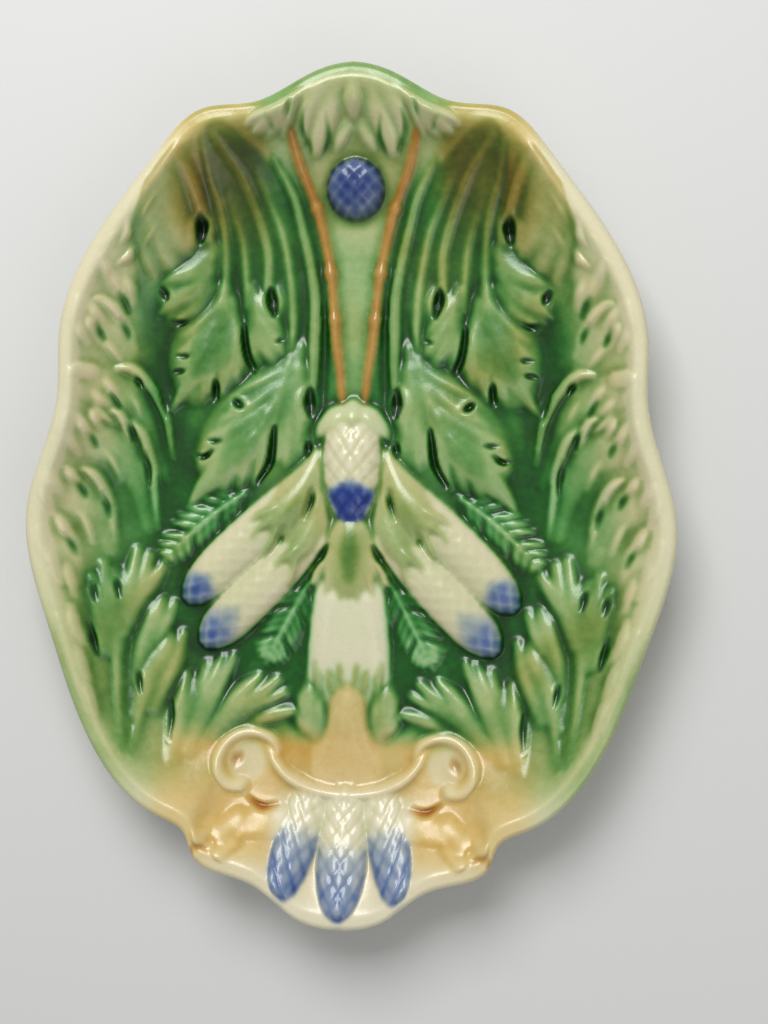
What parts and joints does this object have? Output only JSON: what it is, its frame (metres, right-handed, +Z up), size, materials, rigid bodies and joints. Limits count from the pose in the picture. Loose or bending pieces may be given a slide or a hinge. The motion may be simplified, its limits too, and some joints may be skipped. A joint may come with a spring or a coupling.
{
  "type": "asparagus plate",
  "caption": "Oval glazed earthenware asparagus plate with a lobed rim, a foot ring and moulded relief of asparagus spears, acanthus leaves and scrolls.",
  "frame": {"origin": "centre of the oval foot's underside, on the surface the plate stands on", "axes": "+X to the right of the plate, +Y along its length towards the crown leaf, +Z up out of the dish"},
  "size_m": [0.2002, 0.265, 0.0305],
  "materials": {
    "green_glaze": "gloss",
    "cream_glaze": "gloss",
    "ochre_glaze": "gloss",
    "brown_glaze": "gloss",
    "blue_glaze": "gloss"
  },
  "bodies": {
    "root": {"bunch_cap": "green_glaze", "bunch_leaf": "green_glaze", "centre_spear": "cream_glaze", "crown_leaf": "cream_glaze", "crown_spear": "blue_glaze", "foot_ring": "cream_glaze", "left_border_leaf_1": "cream_glaze", "left_border_leaf_2": "cream_glaze", "left_border_leaf_3": "cream_glaze", "left_border_leaf_4": "cream_glaze", "left_border_leaf_5": "cream_glaze", "left_border_leaf_6": "cream_glaze", "left_border_leaf_7": "cream_glaze", "left_bracket": "ochre_glaze", "left_fluted_leaf": "green_glaze", "left_lip_spear": "cream_glaze", "left_lower_frond": "green_glaze", "left_lower_leaf": "green_glaze", "left_lower_spear": "cream_glaze", "left_scroll": "ochre_glaze", "left_shoulder_leaf": "green_glaze", "left_sprout_1": "green_glaze", "left_sprout_2": "green_glaze", "left_sprout_3": "green_glaze", "left_sprout_4": "green_glaze", "left_sprout_5": "green_glaze", "left_sprout_6": "green_glaze", "left_stem_band": "brown_glaze", "left_upper_frond": "green_glaze", "left_upper_spear": "cream_glaze", "lip_spear_centre": "cream_glaze", "plate_body": "green_glaze", "right_border_leaf_1": "cream_glaze", "right_border_leaf_2": "cream_glaze", "right_border_leaf_3": "cream_glaze", "right_border_leaf_4": "cream_glaze", "right_border_leaf_5": "cream_glaze", "right_border_leaf_6": "cream_glaze", "right_border_leaf_7": "cream_glaze", "right_bracket": "ochre_glaze", "right_fluted_leaf": "green_glaze", "right_lip_spear": "cream_glaze", "right_lower_frond": "green_glaze", "right_lower_leaf": "green_glaze", "right_lower_spear": "cream_glaze", "right_scroll": "ochre_glaze", "right_shoulder_leaf": "green_glaze", "right_sprout_1": "green_glaze", "right_sprout_2": "green_glaze", "right_sprout_3": "green_glaze", "right_sprout_4": "green_glaze", "right_sprout_5": "green_glaze", "right_sprout_6": "green_glaze", "right_stem_band": "brown_glaze", "right_upper_frond": "green_glaze", "right_upper_spear": "cream_glaze", "stalk": "cream_glaze", "trunk": "ochre_glaze", "well_lip": "ochre_glaze"}
  },
  "joints": []
}
